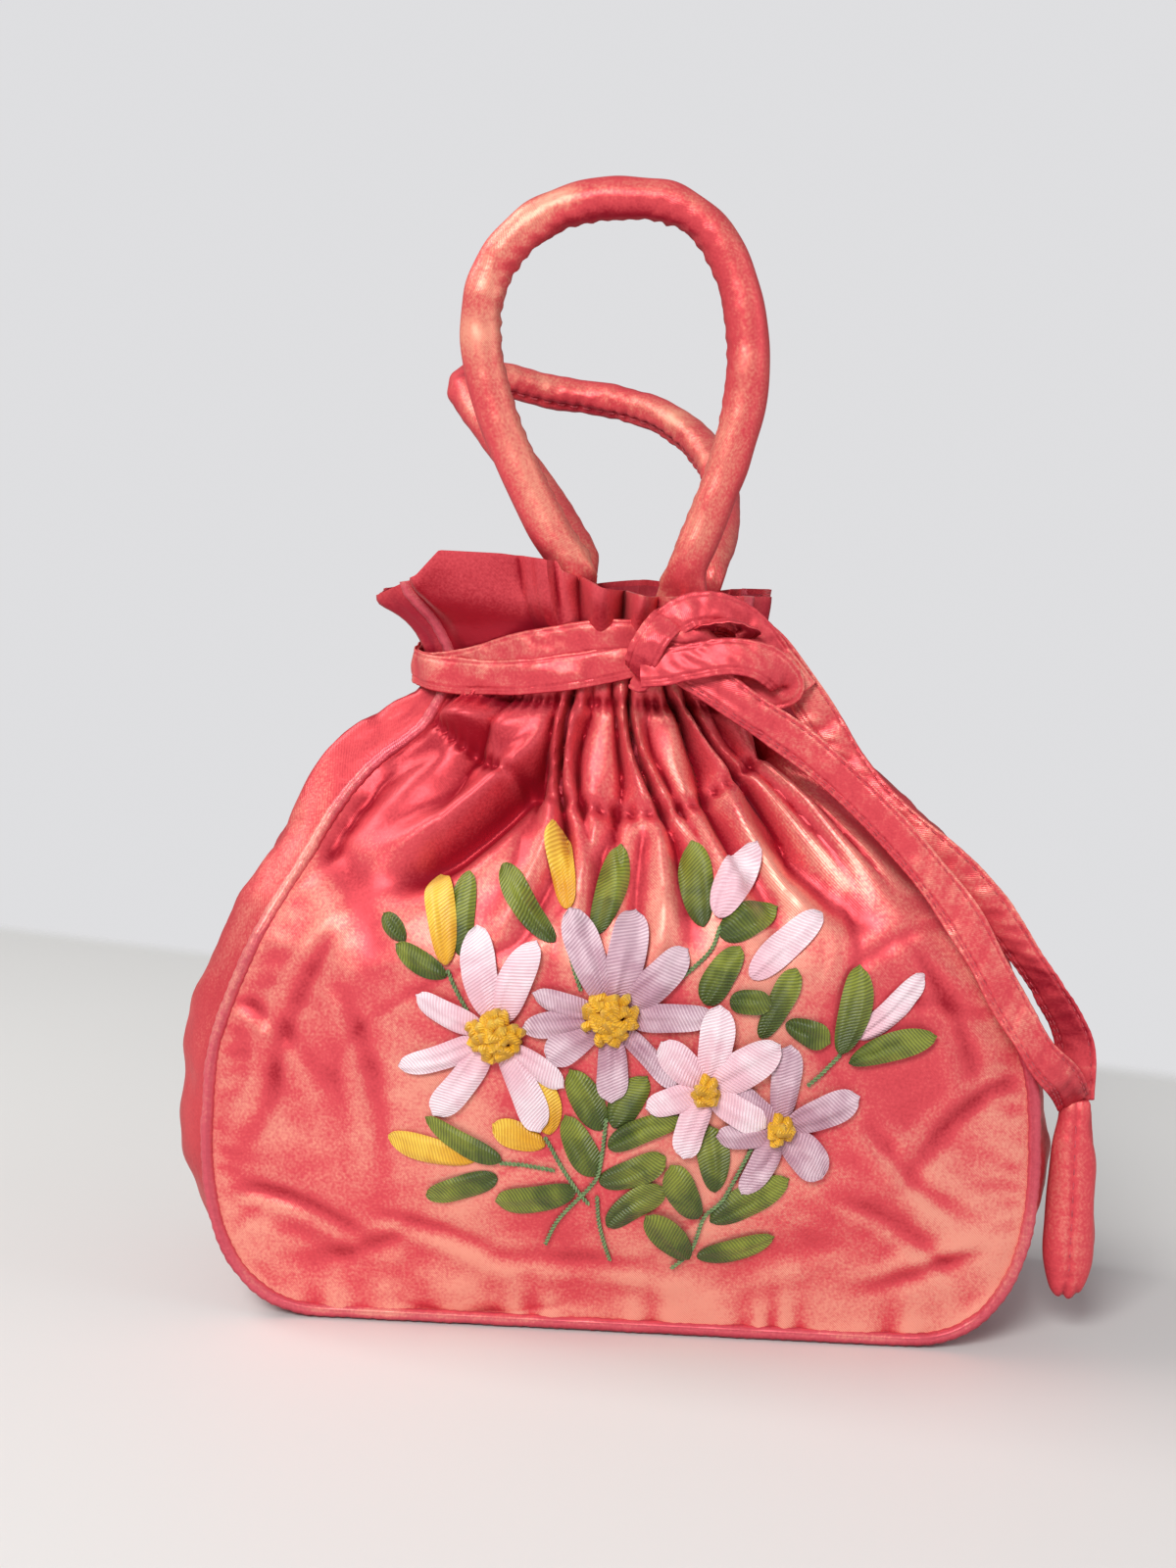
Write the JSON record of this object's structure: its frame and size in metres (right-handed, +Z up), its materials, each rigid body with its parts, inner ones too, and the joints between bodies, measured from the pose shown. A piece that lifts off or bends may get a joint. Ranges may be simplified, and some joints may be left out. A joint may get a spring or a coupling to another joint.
{
  "type": "potli bag",
  "caption": "Gathered satin drawstring pouch with a boxed gusset, corded seams, padded tube handles, a tied ribbon ending in a stuffed drop, and ribbon-embroidered daisies on its front",
  "frame": {"origin": "middle of the flat base, on the surface it stands on", "axes": "-Y is the embroidered front, +X is to the right as the front is looked at, +Z up"},
  "size_m": [0.2448, 0.1647, 0.2952],
  "materials": {
    "shot_satin": "shot satin in coral and peach, fine diagonal rib, soft sheen",
    "satin_ribbon": "the same satin folded and edge-stitched",
    "lining_cloth": "plain matt lining cloth",
    "wadding": "soft undyed cord",
    "pale_ribbon": "narrow satin ribbon, pale pink",
    "mauve_ribbon": "narrow satin ribbon, mauve",
    "yellow_ribbon": "narrow satin ribbon, golden yellow",
    "green_ribbon": "narrow satin ribbon, leaf green"
  },
  "bodies": {
    "root": {"back_panel": "shot_satin", "back_piping": "shot_satin", "bow_loop": "satin_ribbon", "daisy_left_centre": "yellow_ribbon", "daisy_left_petals": "pale_ribbon", "daisy_middle_centre": "yellow_ribbon", "daisy_middle_petals": "pale_ribbon", "daisy_right_centre": "yellow_ribbon", "daisy_right_petals": "mauve_ribbon", "daisy_top_centre": "yellow_ribbon", "daisy_top_petals": "mauve_ribbon", "front_panel": "shot_satin", "front_piping": "shot_satin", "gusset": "shot_satin", "inner_tail": "satin_ribbon", "leaf_1": "green_ribbon", "leaf_10": "green_ribbon", "leaf_11": "green_ribbon", "leaf_12": "green_ribbon", "leaf_13": "green_ribbon", "leaf_14": "green_ribbon", "leaf_15": "green_ribbon", "leaf_16": "green_ribbon", "leaf_17": "green_ribbon", "leaf_18": "green_ribbon", "leaf_19": "green_ribbon", "leaf_2": "green_ribbon", "leaf_20": "green_ribbon", "leaf_21": "green_ribbon", "leaf_22": "green_ribbon", "leaf_23": "green_ribbon", "leaf_24": "green_ribbon", "leaf_25": "green_ribbon", "leaf_26": "green_ribbon", "leaf_27": "green_ribbon", "leaf_3": "green_ribbon", "leaf_4": "green_ribbon", "leaf_5": "green_ribbon", "leaf_6": "green_ribbon", "leaf_7": "green_ribbon", "leaf_8": "green_ribbon", "leaf_9": "green_ribbon", "lining": "lining_cloth", "outer_tail": "satin_ribbon", "pale_bud_1": "pale_ribbon", "pale_bud_2": "pale_ribbon", "pale_bud_3": "pale_ribbon", "ribbon_band": "satin_ribbon", "ribbon_knot": "satin_ribbon", "yellow_bud_1": "yellow_ribbon", "yellow_bud_2": "yellow_ribbon", "yellow_bud_3": "yellow_ribbon", "yellow_bud_4": "yellow_ribbon", "yellow_bud_5": "yellow_ribbon"},
    "front_handle": {"front_handle_cover": "shot_satin", "front_handle_core": "wadding"},
    "back_handle": {"back_handle_cover": "shot_satin", "back_handle_core": "wadding"},
    "drop": {"drop": "satin_ribbon"}
  },
  "joints": [
    {"name": "front_handle_swing", "type": "hinge", "parent": "root", "child": "front_handle", "pos_m": [-0.0015, -0.0228, 0.1976], "axis": [1, 0, 0], "range_deg": [-12, 88]},
    {"name": "back_handle_swing", "type": "hinge", "parent": "root", "child": "back_handle", "pos_m": [0.0005, 0.0228, 0.1976], "axis": [1, 0, 0], "range_deg": [-28, 45]},
    {"name": "drop_swing", "type": "hinge", "parent": "root", "child": "drop", "pos_m": [0.1175, -0.03, 0.059], "axis": [0, -1, 0], "range_deg": [0, 40]}
  ]
}
